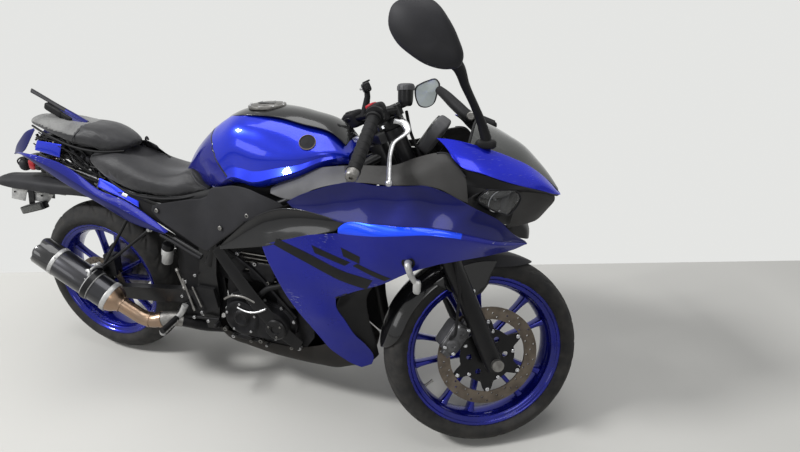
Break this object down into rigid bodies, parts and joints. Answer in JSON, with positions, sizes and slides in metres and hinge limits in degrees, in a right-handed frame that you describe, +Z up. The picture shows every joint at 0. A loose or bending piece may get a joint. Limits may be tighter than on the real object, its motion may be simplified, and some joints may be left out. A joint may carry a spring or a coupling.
{
  "type": "sport bike",
  "caption": "Small blue faired sport bike parked leaning on its side stand, bars on the left stop, with split-spoke wheels, smoked screen, black fork, side muffler and a damaged, opened tail.",
  "frame": {"origin": "middle of the bounding box at the ground the tyres and the stand foot rest on", "axes": "+X forwards along the bike, +Y to the rider's left, +Z up"},
  "size_m": [2.1656, 0.6158, 1.3198],
  "materials": {
    "tyre_rubber": "matte, treaded",
    "blue_wheel_paint": "gloss",
    "disc_steel": "weathered",
    "chain_steel": "oily",
    "black_metal": "satin",
    "frame_paint": "satin",
    "machined_metal": "satin",
    "blue_paint": "gloss, scratched",
    "tank_enamel": "gloss",
    "grey_trim": "matte",
    "black_trim": "gloss",
    "dark_plastic": "matte",
    "smoked_screen": "smoked",
    "lamp_lens": "clear",
    "red_lens": "clear red",
    "seat_vinyl": "matte vinyl",
    "engine_cast": "cast, dusty",
    "radiator_metal": "finned",
    "heated_steel": "heat tinted",
    "muffler_shell": "satin",
    "hose_rubber": "matte"
  },
  "bodies": {
    "chassis": {"main_frame": "frame_paint", "subframe": "black_metal", "swingarm": "frame_paint", "stand_spools": "machined_metal", "rear_axle": "machined_metal", "rear_shock": "black_metal", "rear_caliper": "black_metal", "chain": "chain_steel", "chain_guard": "dark_plastic", "engine": "engine_cast", "engine_covers": "engine_cast", "radiator": "radiator_metal", "exhaust_pipe": "heated_steel", "muffler": "muffler_shell", "muffler_hanger": "black_metal", "fuel_tank": "tank_enamel", "tank_cover": "blue_paint", "rider_seat": "seat_vinyl", "pillion_seat": "seat_vinyl", "tail_panel": "blue_paint", "electrics": "dark_plastic", "tail_cowls": "blue_paint", "side_covers": "grey_trim", "side_fairings": "blue_paint", "vent_panels": "black_trim", "inner_panels": "grey_trim", "belly_pan": "black_trim", "front_cowl": "blue_paint", "windscreen": "smoked_screen", "nose_panel": "black_trim", "headlights": "lamp_lens", "front_stay": "black_metal", "dash": "grey_trim", "mirrors": "black_trim", "rear_fender": "dark_plastic", "plate_bracket": "dark_plastic", "tail_lamp": "red_lens", "footrests": "machined_metal"},
    "steering": {"fork_legs": "black_metal", "front_axle": "machined_metal", "triple_clamps": "black_metal", "front_fender": "grey_trim", "front_caliper": "black_metal", "handlebars": "black_metal", "right_controls": "dark_plastic", "left_controls": "dark_plastic", "brake_hose": "hose_rubber"},
    "front_wheel": {"front_tyre": "tyre_rubber", "front_rim": "blue_wheel_paint", "front_disc": "disc_steel"},
    "rear_wheel": {"rear_tyre": "tyre_rubber", "rear_rim": "blue_wheel_paint", "rear_disc": "disc_steel", "rear_sprocket": "chain_steel"},
    "side_stand": {"side_stand": "black_metal"},
    "fuel_cap": {"fuel_cap": "machined_metal"}
  },
  "joints": [
    {"name": "rear_wheel_spin", "type": "hinge", "parent": "chassis", "child": "rear_wheel", "pos_m": [-0.55844, -0.05181, 0.30705], "axis": [-0.0008, 0.9877, -0.1564], "continuous": true},
    {"name": "steering_turn", "type": "hinge", "parent": "chassis", "child": "steering", "pos_m": [0.56161, 0.0195, 0.75186], "axis": [-0.4183, 0.1418, 0.8972], "range_deg": [-61, 0]},
    {"name": "front_wheel_spin", "type": "hinge", "parent": "steering", "child": "front_wheel", "pos_m": [0.81671, -0.0359, 0.27844], "axis": [-0.4617, 0.8175, -0.3444], "continuous": true},
    {"name": "side_stand_fold", "type": "hinge", "parent": "chassis", "child": "side_stand", "pos_m": [0.01611, 0.06928, 0.21219], "axis": [0.0021, 0.8965, 0.4431], "range_deg": [0, 95]},
    {"name": "fuel_cap_lid", "type": "hinge", "parent": "chassis", "child": "fuel_cap", "pos_m": [0.21186, 0.05673, 0.98859], "axis": [-0.0008, 0.9877, -0.1564], "range_deg": [0, 90]}
  ]
}
